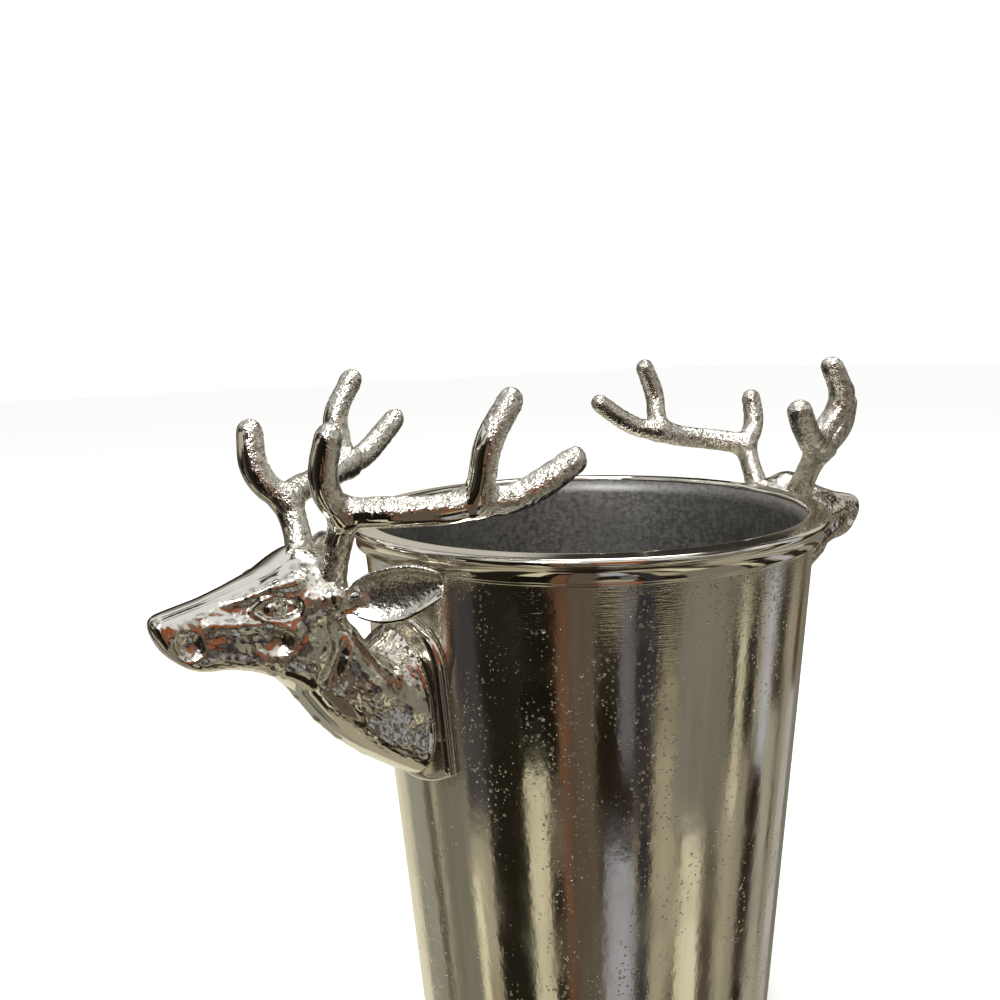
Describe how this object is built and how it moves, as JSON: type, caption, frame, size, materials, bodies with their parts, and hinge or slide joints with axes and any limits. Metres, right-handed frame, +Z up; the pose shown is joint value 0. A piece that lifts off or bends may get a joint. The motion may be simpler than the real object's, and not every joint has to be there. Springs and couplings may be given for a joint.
{
  "type": "champagne bucket",
  "caption": "Tapered champagne bucket with a rolled polished rim and a cast stag head with antlers bolted to each side as a handle.",
  "frame": {"origin": "centre of the base, on the surface that the foot pads stand on", "axes": "+Z up; +X towards the right stag's nose; +Y towards the back, with the front antlers on the -Y side"},
  "size_m": [0.273, 0.15, 0.2358],
  "materials": {
    "polished_wall": "nickel-plated cast aluminium, polished, with casting pits",
    "polished_collar": "nickel-plated cast aluminium, bright polished",
    "satin_inside": "dull satin, as turned",
    "cast_head": "nickel-plated, sand-cast fur texture with polished ridges",
    "polished_plate": "nickel-plated, polished edge",
    "cast_ear": "nickel-plated, rough hollow and polished border",
    "cast_antler": "nickel-plated, grainy sand-cast faces and polished sides",
    "steel_fixing": "turned stainless steel",
    "rubber": "matt moulded rubber"
  },
  "bodies": {
    "root": {"bucket_wall": "polished_wall", "bucket_floor": "satin_inside", "rim_collar": "polished_collar", "foot_pads": "rubber", "left_stag_head": "cast_head", "right_stag_head": "cast_head", "left_neck_plate": "polished_plate", "right_neck_plate": "polished_plate", "left_front_ear": "cast_ear", "left_rear_ear": "cast_ear", "right_front_ear": "cast_ear", "right_rear_ear": "cast_ear", "left_front_antler": "cast_antler", "left_rear_antler": "cast_antler", "right_front_antler": "cast_antler", "right_rear_antler": "cast_antler", "antler_studs": "steel_fixing", "ear_pins": "steel_fixing", "neck_screws": "steel_fixing", "screw_washers": "steel_fixing", "sealing_washers": "rubber"}
  },
  "joints": []
}
